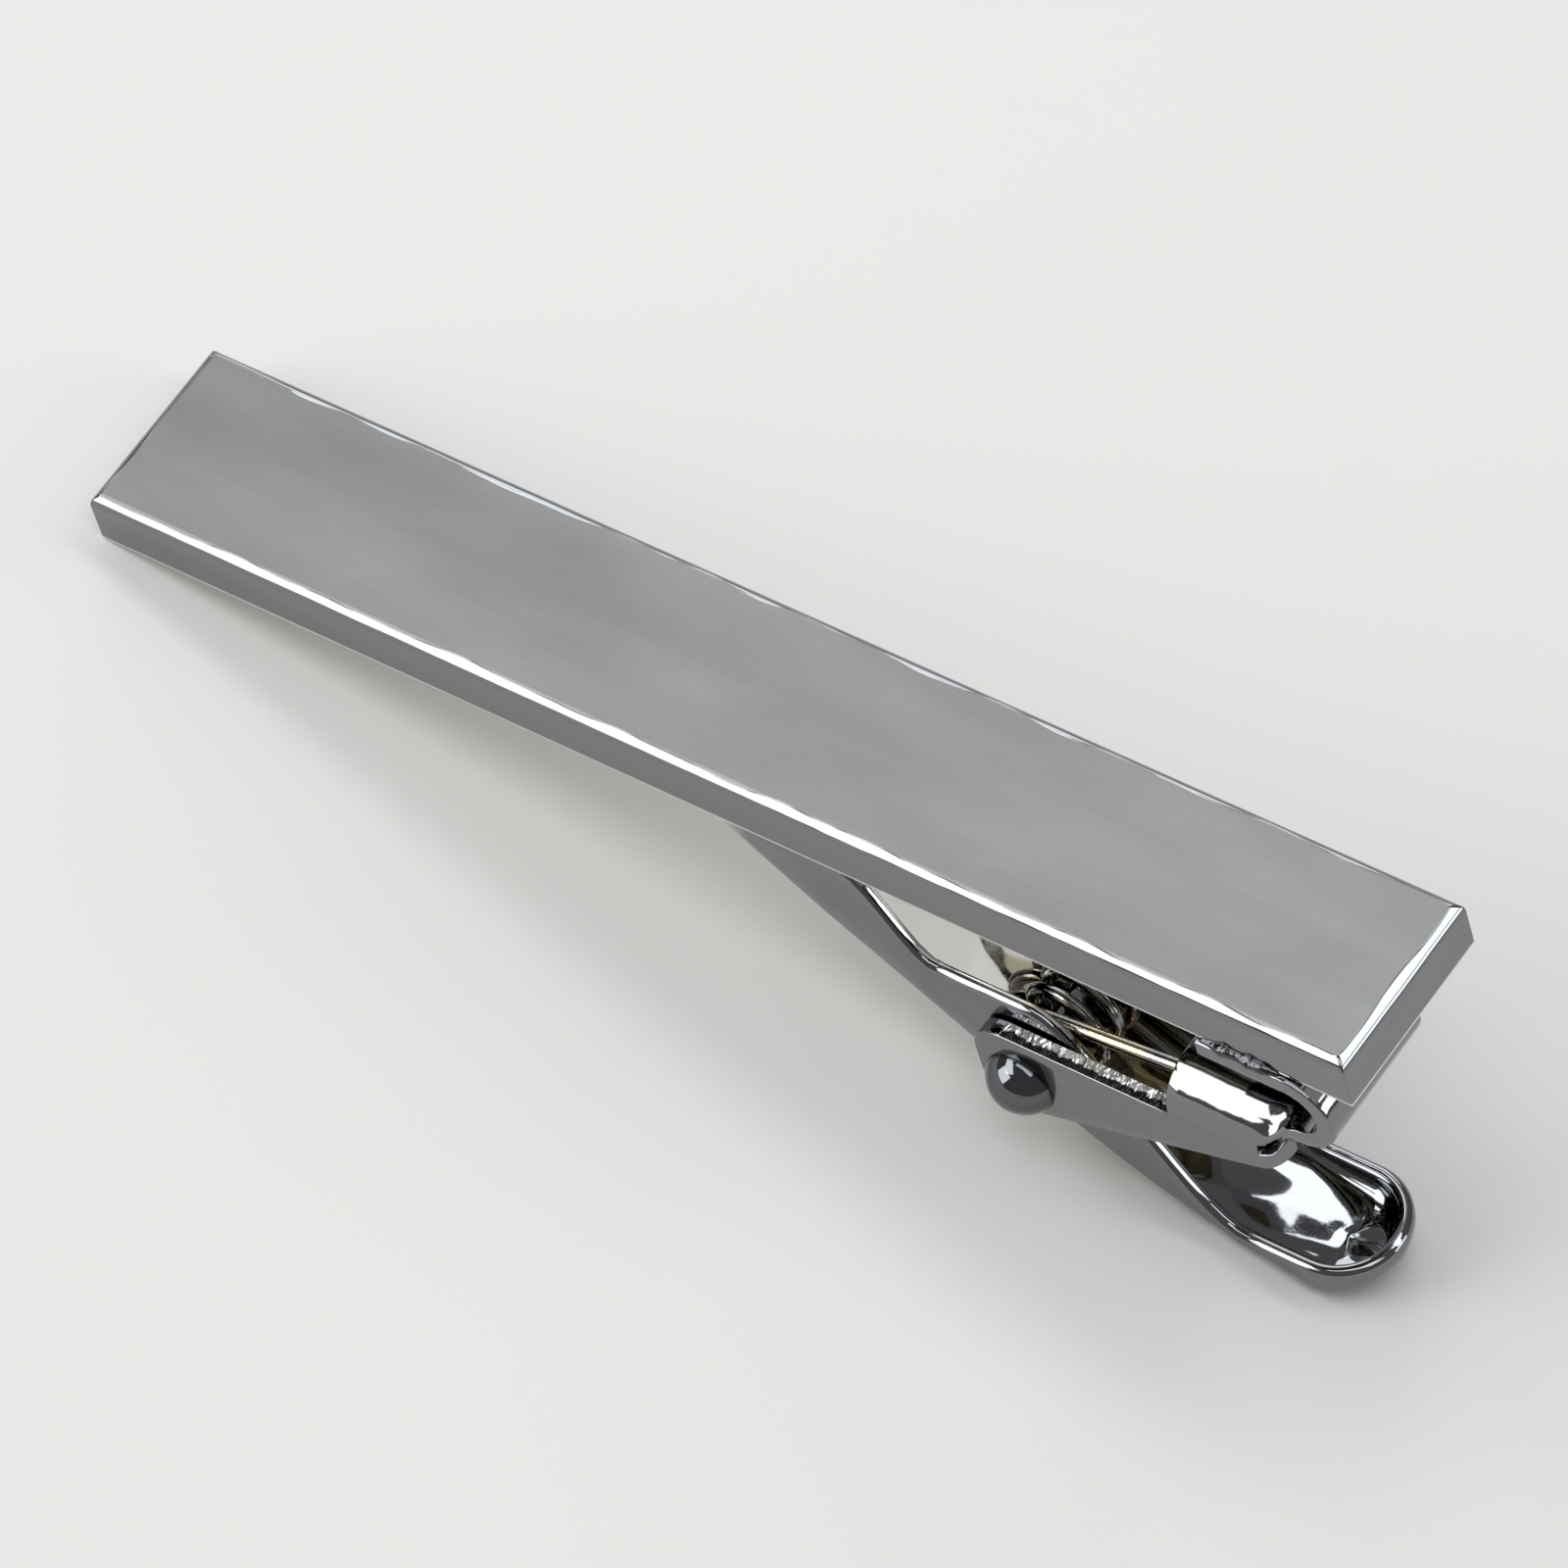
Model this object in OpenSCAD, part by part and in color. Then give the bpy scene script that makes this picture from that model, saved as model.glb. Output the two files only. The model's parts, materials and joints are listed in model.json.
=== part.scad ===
// Tie clip: a flat front bar with a sprung jaw hinged on its back.
// It lies as it does on a table, face up, on the bar's left end and the thumb pad.
// All lengths are in millimetres.

/* [Bar] */
// Length of the front bar
bar_length = 60; // [50:0.5:75]
// Width of the front bar
bar_width = 8.5; // [7:0.1:10]
// Thickness of the front bar
bar_thick = 2.6; // [1.6:0.1:3.4]
// Radius of the polished rim round the face
rim_round = 0.5; // [0.2:0.05:0.7]
// Radius of the bar's corners seen from the face
corner_round = 0.4; // [0.2:0.05:0.8]

/* [Place of the mechanism] */
// Distance from the bar's right end back to the hinge pin
pin_setback = 16.6; // [15.8:0.1:18]
// Distance from the bar's back down to the axis of the pin
pin_drop = 8.2; // [7.9:0.1:8.8]
// How far the mechanism is soldered towards the bar's lower long edge
side_shift = 1.4; // [0:0.1:1.6]

/* [Hinge bracket] */
// Thickness of the bracket's sheet
bracket_sheet = 0.8; // [0.6:0.05:0.85]
// Radius of the cheek round the pin
cheek_round = 1.9; // [1.8:0.1:2.2]
// Height of the cheek's front edge above the pin
cheek_rise = 2.8; // [2.5:0.1:3.2]
// Radius of the cheek's upper front corner
cheek_corner = 1.5; // [0.6:0.1:1.6]
// Slope of the cheek's lower edge, in degrees
cheek_slope = 18.5; // [16:0.5:20]
// Height of the web's top above the pin
web_rise = 4.8; // [4.5:0.1:5.2]
// Outer radius of the bend between web and cheek
web_bend = 1.8; // [1.2:0.1:2]
// Distance from the pin to the front edge of the web
box_front = 7.5; // [7:0.1:8.5]
// Distance from the pin to the rear end of the cheeks
box_rear = 11.7; // [11.2:0.1:12.6]
// Outer radius of the cheek's inturned rear end
curl_round = 1.1; // [0.9:0.1:1.4]
// Distance from the pin to the back of the folded end
fold_rear = 15.4; // [15:0.1:15.8]
// Corner radius of the folded end seen from the face
fold_corner = 1.2; // [0.8:0.1:1.6]
// Distance from the pin to the front edge of the soldered flap
flap_front = 9.4; // [8.5:0.1:10.5]
// How far the flap's long edge stands in from the cheek's outer face
flap_inset = 0.3; // [0.1:0.05:0.5]

/* [Solder joint] */
// Thickness of the solder between the flap and the bar
solder_thick = 0.1; // [0.05:0.01:0.2]
// Radius of the solder bead along the bar's lower long edge
bead_round = 0.3; // [0.2:0.02:0.36]

/* [Hinge pin] */
// Diameter of the pin's shank
pin_dia = 1.6; // [1.4:0.05:1.7]
// Diameter of the pin's domed heads
head_dia = 3.1; // [2.7:0.1:3.2]
// Height of the domed heads
head_height = 1.2; // [0.5:0.05:1.3]

/* [Jaw lever] */
// Width of the lever over its side walls
lever_width = 5.5; // [5.4:0.1:6.4]
// Thickness of the lever's sheet
lever_sheet = 0.6; // [0.45:0.05:0.65]
// Outer radius of the bend between floor and side wall
lever_bend = 1; // [0.8:0.1:1.3]
// Distance from the pin to the end of the jaw
jaw_reach = 18.8; // [17:0.2:22]
// Width of the jaw near its end
jaw_tip_width = 4; // [3.2:0.1:5]
// Length of the jaw's end that lies along the bar
jaw_flat = 2.5; // [2:0.1:4]
// Distance along the lever over which the jaw narrows
jaw_taper = 8.5; // [6:0.5:10]
// Slope at which the jaw's floor leaves the bar, in degrees
jaw_slope = 19; // [16:1:24]
// Distance from the pin to the shoulder where the walls leave the bar
throat_front = 7.5; // [7:0.1:8]
// Distance from the pin to the end of that shoulder
throat_back = 4; // [3.6:0.1:4.4]
// Height of the wall's top edge above the pin
ear_rise = 3.8; // [3.6:0.1:4.2]
// Distance from the pin to the start of the wall's fall to the pad
heel_start = 0.5; // [0.3:0.1:0.9]
// Distance from the pin to the end of that fall
heel_end = 8.7; // [8.4:0.1:9.4]
// Distance from the pin to the centre of the pad's round end
pad_reach = 11.4; // [11:0.1:12]
// Depth of the pad's underside below the bar's back
pad_drop = 16.6; // [16:0.1:17.2]
// Height of the pad's rim above its underside
pad_depth = 2.1; // [1.8:0.1:2.6]
// Height of the rim at the very end of the pad
pad_lip = 0.9; // [0.7:0.05:1.2]
// Length of the pad's underside that lies on the table
pad_flat = 2.6; // [2:0.1:3]

/* [Torsion spring] */
// Diameter of the spring's wire
wire_dia = 0.6; // [0.5:0.02:0.62]
// Outer diameter of the coil
coil_dia = 4.2; // [3.8:0.1:4.4]
// Whole turns counted between the two legs
coil_turns = 4; // [3:1:4]
// Distance from the pin to the end of the leg under the web
web_leg = 10.5; // [9.5:0.1:11]
// Distance from the pin to the end of the leg on the lever's floor
floor_leg = 6.2; // [5.6:0.1:6.6]

/* [Clearances] */
// Gap on each side between lever and bracket
side_gap = 0.12; // [0.08:0.01:0.2]
// Radial gap of the pin in the lever's holes
pin_gap = 0.05; // [0.02:0.01:0.08]
// Radial gap of the pin in the bracket's holes before riveting
rivet_gap = 0.01; // [0.01:0.01:0.03]
// Gap between the closed jaw and the bar's back
jaw_gap = 0.05; // [0.03:0.01:0.1]
// Gap of the spring to the parts round it
spring_gap = 0.05; // [0.03:0.01:0.1]

/* [Hidden] */
$fn = 48;
// Overrun of every cut
over = 0.5;

// Directions at rest: the table touches the bar's left end and the pad
pin_x = bar_length - pin_setback;
rest_pitch = atan2(pad_drop, pin_x + pad_reach);
bracket_half = lever_width / 2 + side_gap + bracket_sheet;
flap_half = bracket_half - flap_inset;
fold_round = (pin_drop - solder_thick - web_rise + bracket_sheet) / 2;
fold_x = fold_rear - fold_round;
fold_z = pin_drop - solder_thick - fold_round;

// Box of the resting part, which puts the origin at the middle of its underside
rest_left = -(bar_thick - rim_round) * sin(rest_pitch) - rim_round * (1 - cos(rest_pitch));
rest_right = (pin_x + pad_reach + lever_width / 2) * cos(rest_pitch)
    + (pad_drop - pad_depth + pad_lip) * sin(rest_pitch);
near_side = -side_shift - bracket_half - head_height;
far_side = bar_width / 2;

// Puts a piece drawn on the level bar into the resting pose
module at_rest() {
    translate([-(rest_left + rest_right) / 2, -(near_side + far_side) / 2, 0])
        rotate([0, -rest_pitch, 0])
            children();
}

// Puts a piece drawn round the pin axis in its place on the bar
module at_pin() {
    at_rest()
        translate([pin_x, -side_shift, -pin_drop])
            children();
}

// Stands a profile drawn in length and height upright, with a thickness across
module upright(from, to) {
    translate([0, to, 0])
        rotate([90, 0, 0])
            linear_extrude(to - from)
                children();
}

// Rectangle from the origin with its two upper corners rounded
module round_topped(w, h, r) {
    square([w, h - r]);
    translate([r, 0])
        square([w - 2 * r, h]);
    for (x = [r, w - r])
        translate([x, h - r])
            circle(r);
}

// Rectangle with all four corners rounded
module round_cornered(w, h, r) {
    translate([r, 0])
        square([w - 2 * r, h]);
    translate([0, r])
        square([w, h - 2 * r]);
    for (x = [r, w - r], y = [r, h - r])
        translate([x, y])
            circle(r);
}

// Solid flat bar whose face is bordered by a rounded rim
module front_bar() {
    color([0.72, 0.72, 0.73])
        at_rest()
            intersection() {
                upright(-bar_width / 2, bar_width / 2)
                    round_topped(bar_length, bar_thick, rim_round);
                translate([0, -bar_width / 2, 0])
                    rotate([90, 0, 90])
                        linear_extrude(bar_length)
                            round_topped(bar_width, bar_thick, rim_round);
                translate([0, -bar_width / 2, 0])
                    linear_extrude(bar_thick)
                        round_cornered(bar_length, bar_width, corner_round);
            }
}

// Plan outline of the flap, with the folded end's rounded corners
module flap_plan(front) {
    intersection() {
        translate([front, -flap_half])
            square([fold_rear - front, 2 * flap_half]);
        translate([front - 2 * fold_corner, -flap_half])
            round_cornered(fold_rear - front + 2 * fold_corner, 2 * flap_half, fold_corner);
    }
}

// Thin layer of solder between flap and bar, with a bead in the corner between flap and bar:
// on the flap's ledge where the flap is the wider, otherwise under the bar
module solder_joint() {
    bar_near = side_shift - bar_width / 2;
    on_ledge = bar_near > -flap_half;
    bead_y = max(bar_near, -flap_half);
    bead_z = on_ledge ? pin_drop - solder_thick : pin_drop;
    color([0.62, 0.62, 0.6])
        at_pin() {
            intersection() {
                translate([0, 0, pin_drop - solder_thick])
                    linear_extrude(solder_thick)
                        flap_plan(flap_front);
                translate([flap_front, bar_near, pin_drop - bar_thick])
                    cube([fold_x - flap_front, bar_width, 2 * bar_thick]);
            }
            intersection() {
                translate([flap_front + bead_round, bead_y, bead_z])
                    rotate([0, 90, 0])
                        cylinder(r = bead_round, h = fold_x - flap_front - 2 * bead_round);
                translate([flap_front, bead_y - bar_thick, on_ledge ? bead_z : bead_z - bar_thick])
                    cube([fold_x - flap_front, bar_thick, bar_thick]);
            }
            // Strip that joins the bead to the layer
            translate([flap_front + bead_round, bead_y - solder_thick, pin_drop - solder_thick])
                cube([fold_x - flap_front - 2 * bead_round, 2 * solder_thick, solder_thick]);
        }
}

// Side outline of the cheeks and the web between them
module bracket_outline() {
    low = cheek_round / cos(cheek_slope);
    difference() {
        union() {
            circle(cheek_round);
            translate([cheek_corner - cheek_round, cheek_rise - cheek_corner])
                circle(cheek_corner);
            polygon([
                [-cheek_round, 0],
                [0, 0],
                [cheek_round * sin(cheek_slope), -cheek_round * cos(cheek_slope)],
                [box_rear, box_rear * tan(cheek_slope) - low],
                [box_rear, web_rise],
                [box_front, web_rise],
                [box_front, cheek_rise],
                [cheek_corner - cheek_round, cheek_rise],
                [-cheek_round, cheek_rise - cheek_corner],
            ]);
        }
        circle(pin_dia / 2 + rivet_gap);
    }
}

// Cross-section of the folded channel: a web with a cheek bent down on each side
module channel_section() {
    inner = bracket_half - bracket_sheet;
    deep = web_rise + cheek_round;
    difference() {
        translate([-bracket_half, -cheek_round])
            round_topped(2 * bracket_half, deep, web_bend);
        translate([-inner, -cheek_round - over])
            round_topped(2 * inner, deep - bracket_sheet + over, web_bend - bracket_sheet);
    }
}

// Quarter ring that turns the end of the near cheek inwards
module cheek_curl() {
    translate([box_rear, curl_round - bracket_half, -cheek_round])
        intersection() {
            difference() {
                cylinder(r = curl_round, h = web_rise + cheek_round - bracket_sheet);
                translate([0, 0, -over])
                    cylinder(r = curl_round - bracket_sheet, h = web_rise + cheek_round + over);
            }
            translate([0, -curl_round, 0])
                cube([curl_round, curl_round, web_rise + cheek_round]);
        }
}

// Part of the curl that lies above the cheek's sloping lower edge
module curl_trim() {
    low = cheek_round / cos(cheek_slope);
    upright(-bracket_half, bracket_half)
        polygon([
            [box_rear, box_rear * tan(cheek_slope) - low],
            [box_rear + curl_round, (box_rear + curl_round) * tan(cheek_slope) - low],
            [box_rear + curl_round, web_rise - bracket_sheet],
            [box_rear, web_rise - bracket_sheet],
        ]);
}

// Side outline of the web's rear, folded up and forward into the soldered flap
module fold_outline() {
    translate([box_rear - curl_round, web_rise - bracket_sheet])
        square([fold_x - box_rear + curl_round, bracket_sheet]);
    translate([flap_front, pin_drop - solder_thick - bracket_sheet])
        square([fold_x - flap_front, bracket_sheet]);
    translate([fold_x, fold_z])
        intersection() {
            difference() {
                circle(fold_round);
                circle(fold_round - bracket_sheet);
            }
            translate([0, -fold_round])
                square([fold_round, 2 * fold_round]);
        }
}

// One stamping: hinge cheeks, web and the folded flap that is soldered to the bar
module hinge_bracket() {
    color([0.66, 0.66, 0.67])
        at_pin() {
            intersection() {
                translate([-cheek_round, 0, 0])
                    rotate([90, 0, 90])
                        linear_extrude(box_rear + cheek_round)
                            channel_section();
                upright(-bracket_half, bracket_half)
                    bracket_outline();
            }
            for (side = [0, 1])
                mirror([0, side, 0])
                    intersection() {
                        cheek_curl();
                        curl_trim();
                    }
            intersection() {
                upright(-flap_half, flap_half)
                    fold_outline();
                linear_extrude(pin_drop)
                    flap_plan(flap_front - over);
            }
        }
}

// Domed head of the pin, standing on the plane of its rim
module pin_head() {
    dome = (head_dia * head_dia / 4 + head_height * head_height) / (2 * head_height);
    rotate_extrude()
        intersection() {
            translate([0, head_height - dome])
                circle(dome, $fn = 96);
            square([head_dia / 2, head_height]);
        }
}

// Rivet through both cheeks and both walls of the lever
module hinge_pin() {
    color([0.7, 0.7, 0.71])
        at_pin()
            rotate([90, 0, 0]) {
                translate([0, 0, -bracket_half])
                    cylinder(d = pin_dia, h = 2 * bracket_half);
                for (side = [0, 1])
                    mirror([0, 0, side])
                        translate([0, 0, bracket_half])
                            pin_head();
            }
}

// Smooth step from 0 to 1 between two places
function ease(x, from, to) =
    let (s = min(max((x - from) / (to - from), 0), 1))
    s * s * (3 - 2 * s);

// Point on a cubic curve with its four control points
function curve_point(p, s) =
    pow(1 - s, 3) * p[0] + 3 * pow(1 - s, 2) * s * p[1]
    + 3 * (1 - s) * pow(s, 2) * p[2] + pow(s, 3) * p[3];

// Slope of that curve
function curve_slope(p, s) =
    let (d = pow(1 - s, 2) * (p[1] - p[0]) + 2 * (1 - s) * s * (p[2] - p[1]) + pow(s, 2) * (p[3] - p[2]))
    d[1] / d[0];

// Underside of the lever's floor, from the flat end of the jaw to the pad
jaw_back = pin_drop - jaw_gap;
floor_start = [jaw_flat - jaw_reach, jaw_back - lever_sheet];
floor_end = [pad_reach - pad_flat, pin_drop - pad_drop + pad_flat * tan(rest_pitch)];
floor_handle_share = 0.377;
floor_handle = floor_handle_share * (floor_end[0] - floor_start[0]);
floor_curve = [
    floor_start,
    floor_start + floor_handle * [1, -tan(jaw_slope)],
    floor_end - floor_handle * [1, -tan(rest_pitch)],
    floor_end,
];

// Top edge of the side walls: along the bar, down into the throat, over the pin, down to the pad
pad_rim = pin_drop - pad_drop + pad_depth;
function wall_top(x) =
    jaw_back
    - (jaw_back - ear_rise) * ease(x, -throat_front, -throat_back)
    - (ear_rise - pad_rim) * ease(x, heel_start, heel_end);

// Half width of the lever, narrower towards the jaw's end
function half_width(x) =
    jaw_tip_width / 2
    + (lever_width - jaw_tip_width) / 2 * ease(x, -jaw_reach, jaw_flat + jaw_taper - jaw_reach);

// Stations along the lever: place, half width, underside, wall top and floor slope
nose_steps = 5;
nose_share = 0.25;
curve_steps = 22;
pad_steps = 8;
pad_sweep = 88;
jaw_nose = jaw_tip_width / 2;
function nose_station(k) =
    let (a = 90 * (1 - k / nose_steps), x = -jaw_reach + jaw_nose * (1 - sin(a)))
    [x, max(half_width(x) * cos(a), nose_share * lever_sheet), floor_start[1], wall_top(x), 0];
function floor_station(s) =
    let (p = curve_point(floor_curve, s))
    [p[0], half_width(p[0]), p[1], wall_top(p[0]), curve_slope(floor_curve, s)];
function pad_station(k, inset) =
    let (a = pad_sweep * k / pad_steps, r = lever_width / 2)
    [pad_reach + (r - inset) * sin(a), inset + (r - inset) * cos(a),
        pad_rim - pad_lip - (pad_depth - pad_lip) * cos(a), pad_rim, 0];

// Closed section of the lever at a station: flat top, rounded lower corners
bend_steps = 4;
bend_share = 0.9;
function section_ring(x, half, low, top, bend) =
    let (r = min(bend, bend_share * half, bend_share * (top - low)))
    concat(
        [[x, half, top]],
        [for (k = [0:bend_steps]) let (a = 90 * k / bend_steps)
            [x, half - r * (1 - cos(a)), low + r * (1 - sin(a))]],
        [for (k = [bend_steps:-1:0]) let (a = 90 * k / bend_steps)
            [x, r * (1 - cos(a)) - half, low + r * (1 - sin(a))]],
        [[x, -half, top]]
    );

// Solid drawn through rings of equal length, closed at both ends
module loft(rings) {
    n = len(rings[0]);
    m = len(rings);
    polyhedron(
        points = [for (ring = rings) each ring],
        faces = concat(
            [[for (k = [n - 1:-1:0]) k]],
            [for (i = [0:m - 2], k = [0:n - 1]) each [
                [i * n + k, i * n + (k + 1) % n, (i + 1) * n + (k + 1) % n],
                [i * n + k, (i + 1) * n + (k + 1) % n, (i + 1) * n + k],
            ]],
            [[for (k = [0:n - 1]) (m - 1) * n + k]]
        ),
        convexity = 6
    );
}

outer_stations = concat(
    [for (k = [0:nose_steps - 1]) nose_station(k)],
    [for (k = [0:curve_steps]) floor_station(k / curve_steps)],
    [for (k = [0:pad_steps]) pad_station(k, 0)]
);
inner_stations = concat(
    [for (k = [1:curve_steps]) floor_station(k / curve_steps)],
    [for (k = [0:pad_steps]) pad_station(k, lever_sheet)]
);

// One stamping: thumb pad, side walls with the pin's holes, and jaw
module jaw_lever() {
    color([0.68, 0.68, 0.7])
        at_pin()
            difference() {
                loft([for (s = outer_stations) section_ring(s[0], s[1], s[2], s[3], lever_bend)]);
                loft([for (s = inner_stations)
                    section_ring(s[0], s[1] - lever_sheet,
                        s[2] + lever_sheet * sqrt(1 + s[4] * s[4]), s[3] + over, lever_bend - lever_sheet)]);
                rotate([90, 0, 0])
                    cylinder(d = pin_dia + 2 * pin_gap, h = lever_width + 2 * over, center = true);
            }
}

// The coil hangs on the pin, pushed away from the lever's floor
coil_mean = (coil_dia - wire_dia) / 2;
coil_shift = coil_mean - wire_dia / 2 - pin_dia / 2 - spring_gap;
coil_lean = 40;
coil_centre = coil_shift * [sin(coil_lean), cos(coil_lean)];
coil_half = lever_width / 2 - lever_sheet - wire_dia / 2 - spring_gap;

// Share of the floor's curve that is passed at a place, found by halving
halvings = 20;
function share_at(x, lo, hi, n) =
    let (mid = (lo + hi) / 2)
    n < 1 ? mid
    : curve_point(floor_curve, mid)[0] < x ? share_at(x, mid, hi, n - 1)
    : share_at(x, lo, mid, n - 1);

// Where the legs end, in length and height
web_end = [web_leg, web_rise - bracket_sheet - wire_dia / 2 - spring_gap];
floor_share = share_at(floor_leg, 0, 1, halvings);
floor_slope = curve_slope(floor_curve, floor_share);
floor_lift = (lever_sheet + wire_dia / 2 + spring_gap) * sqrt(1 + floor_slope * floor_slope);
floor_tip = [floor_leg, curve_point(floor_curve, floor_share)[1] + floor_lift];

function bearing(p) = atan2(p[1] - coil_centre[1], p[0] - coil_centre[0]);
function reach(p) = norm(p - coil_centre);
turn_start = bearing(web_end) + acos(coil_mean / reach(web_end));
turn_end = bearing(floor_tip) - acos(coil_mean / reach(floor_tip)) + 360 * coil_turns;
coil_rings = 24;
coil_count = ceil((turn_end - turn_start) / 360 * coil_rings);
coil_path = [for (k = [0:coil_count])
    let (s = k / coil_count, a = turn_start + (turn_end - turn_start) * s)
    [coil_centre[0] + coil_mean * cos(a), coil_half * (2 * s - 1), coil_centre[1] + coil_mean * sin(a)]];
spring_path = concat(
    [[web_end[0], -coil_half, web_end[1]]],
    coil_path,
    [[floor_tip[0], coil_half, floor_tip[1]]]
);

// Least gap of the coil to itself, measured between points half a turn or more apart
coil_gap = min([for (i = [0:coil_count], k = [i + coil_rings / 2:coil_count])
    norm(coil_path[i] - coil_path[k])]) - wire_dia;
echo(coil_gap = coil_gap);

// Tube of six sides along a path that turns mostly about the pin's direction
wire_sides = 6;
function heading(path, i) =
    let (d = path[min(i + 1, len(path) - 1)] - path[max(i - 1, 0)])
    d / norm(d);
function wire_ring(path, i) =
    let (d = heading(path, i), u = cross([0, 1, 0], d) / norm(cross([0, 1, 0], d)), v = cross(d, u))
    [for (k = [0:wire_sides - 1]) let (a = 360 * k / wire_sides)
        path[i] + wire_dia / 2 * (cos(a) * u + sin(a) * v)];

// One piece of wire: coil round the pin, a leg under the web and a leg on the lever's floor
module torsion_spring() {
    color([0.6, 0.6, 0.58])
        at_pin()
            loft([for (i = [0:len(spring_path) - 1]) wire_ring(spring_path, i)]);
}

front_bar();
solder_joint();
hinge_bracket();
hinge_pin();
torsion_spring();
jaw_lever();
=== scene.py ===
import json
import math

import bmesh
import bpy
from mathutils import Matrix, Vector, noise


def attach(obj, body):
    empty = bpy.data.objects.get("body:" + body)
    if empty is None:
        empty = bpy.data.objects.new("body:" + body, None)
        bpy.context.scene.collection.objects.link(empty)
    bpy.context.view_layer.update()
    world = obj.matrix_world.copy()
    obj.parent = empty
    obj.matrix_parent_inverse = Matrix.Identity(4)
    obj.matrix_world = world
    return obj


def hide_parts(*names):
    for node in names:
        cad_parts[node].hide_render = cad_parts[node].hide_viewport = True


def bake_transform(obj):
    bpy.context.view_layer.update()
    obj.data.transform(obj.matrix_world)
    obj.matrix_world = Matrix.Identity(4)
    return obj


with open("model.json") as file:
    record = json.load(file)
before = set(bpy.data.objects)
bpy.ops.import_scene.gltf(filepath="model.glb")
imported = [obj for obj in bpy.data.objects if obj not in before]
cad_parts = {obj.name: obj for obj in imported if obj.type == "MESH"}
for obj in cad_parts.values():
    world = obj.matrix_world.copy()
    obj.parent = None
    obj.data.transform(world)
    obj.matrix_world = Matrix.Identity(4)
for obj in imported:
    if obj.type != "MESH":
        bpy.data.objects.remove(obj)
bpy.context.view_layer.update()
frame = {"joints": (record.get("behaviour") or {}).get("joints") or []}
scene = bpy.context.scene

# Front bar.
# A solid brass flat, cut to length, with its face edges rounded over on a wheel. It is nickel and
# chrome plated all over, and the face inside the polished rim is brushed lengthwise.
MM = 0.001
bar_length, bar_width, bar_thick = 60.0, 8.5, 2.6
rim_round, corner_round, back_round = 0.5, 0.08, 0.16

# The clip is drawn in millimetres on a level bar, from the bar's left end or from the pin, and
# then pitched about the pin until it rests on the bar's end and the lever's pad.
pin_along, pin_below, off_centre = 43.4, 8.2, 1.4
pad_reach, pad_below = 11.4, 16.6
pitch = math.atan2(pad_below, pin_along + pad_reach)
pin_at = Vector(frame["joints"][0]["pos_m"])
lay = (
    Matrix.Translation(pin_at)
    @ Matrix.Rotation(-pitch, 4, "Y")
    @ Matrix.Scale(MM, 4)
    @ Matrix.Translation((-pin_along, off_centre, pin_below))
)
on_pin = lay @ Matrix.Translation((pin_along, -off_centre, -pin_below))


def edges_where(bm, test):
    return [e for e in bm.edges if all(test(v.co) for v in e.verts)]


def round_edges(bm, edges, width, segments):
    bmesh.ops.bevel(
        bm,
        geom=edges,
        offset=width,
        segments=segments,
        profile=0.5,
        affect="EDGES",
        material=-1,
        clamp_overlap=True,
    )


bm = bmesh.new()
bmesh.ops.create_cube(bm, size=1)
bmesh.ops.scale(bm, vec=(bar_length, bar_width, bar_thick), verts=bm.verts)
bmesh.ops.translate(bm, vec=(bar_length / 2, 0, bar_thick / 2), verts=bm.verts)
round_edges(bm, edges_where(bm, lambda p: p.z > bar_thick - 1e-4), rim_round, 8)
corners = [e for e in bm.edges if e.calc_face_angle() > 0.25 and max(v.co.z for v in e.verts) > 1]
corners = [e for e in corners if abs(e.verts[0].co.z - e.verts[1].co.z) > 0.01]
round_edges(bm, corners, corner_round, 3)
round_edges(bm, edges_where(bm, lambda p: p.z < 1e-4), back_round, 3)


def colour(hex_code):
    """An sRGB hex colour turned to linear."""
    parts = [int(hex_code[i : i + 2], 16) / 255 for i in (1, 3, 5)]
    return [c / 12.92 if c <= 0.04045 else ((c + 0.055) / 1.055) ** 2.4 for c in parts] + [1.0]


def add(material, kind, settings=None, links=None):
    """Adds a node; settings name its fields or input sockets, links join inputs to outputs."""
    tree = material.node_tree
    node = tree.nodes.new(kind)
    for key, value in (settings or {}).items():
        if isinstance(key, str) and hasattr(node, key):
            setattr(node, key, value)
        else:
            node.inputs[key].default_value = value
    for key, out in (links or {}).items():
        tree.links.new(out, node.inputs[key])
    return node


def metal(name, hex_code, roughness):
    """A plated metal: returns the material and its shader, joined to the output."""
    material = bpy.data.materials.new(name)
    material.use_nodes = True
    material.node_tree.nodes.clear()
    shader = add(
        material,
        "ShaderNodeBsdfPrincipled",
        {"Base Color": colour(hex_code), "Metallic": 1.0, "Roughness": roughness},
    )
    add(material, "ShaderNodeOutputMaterial", None, {"Surface": shader.outputs["BSDF"]})
    return material, shader


def bar_place(material):
    """Place on the level bar in millimetres, from the object's own coordinates."""
    where = add(material, "ShaderNodeTexCoord")
    back = lay.inverted()
    return add(
        material,
        "ShaderNodeMapping",
        {"Location": back.to_translation(), "Rotation": (0, pitch, 0), "Scale": (1 / MM,) * 3},
        {"Vector": where.outputs["Object"]},
    ).outputs["Vector"]


# Bright chrome over the whole bar, satin only where the face was brushed inside the rim. The satin
# spreads the light into an even grey, and the polished rim draws a white line round it.
# The near-white grey is a painted reflection, used on the bar's back and inside the lever's channel.
plate_grey, painted_reflection_grey = "#808285", "#efefed"
satin_dark, satin_light = "#747677", "#7d7e7e"
satin_from, satin_to = 0.6, 0.7
polished_rough, satin_rough = 0.04, 0.36
chrome_bar, shader = metal("chrome_plate_on_brass_bar_brushed_face", plate_grey, polished_rough)
place = bar_place(chrome_bar)
xyz = add(chrome_bar, "ShaderNodeSeparateXYZ", None, {"Vector": place})
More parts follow.
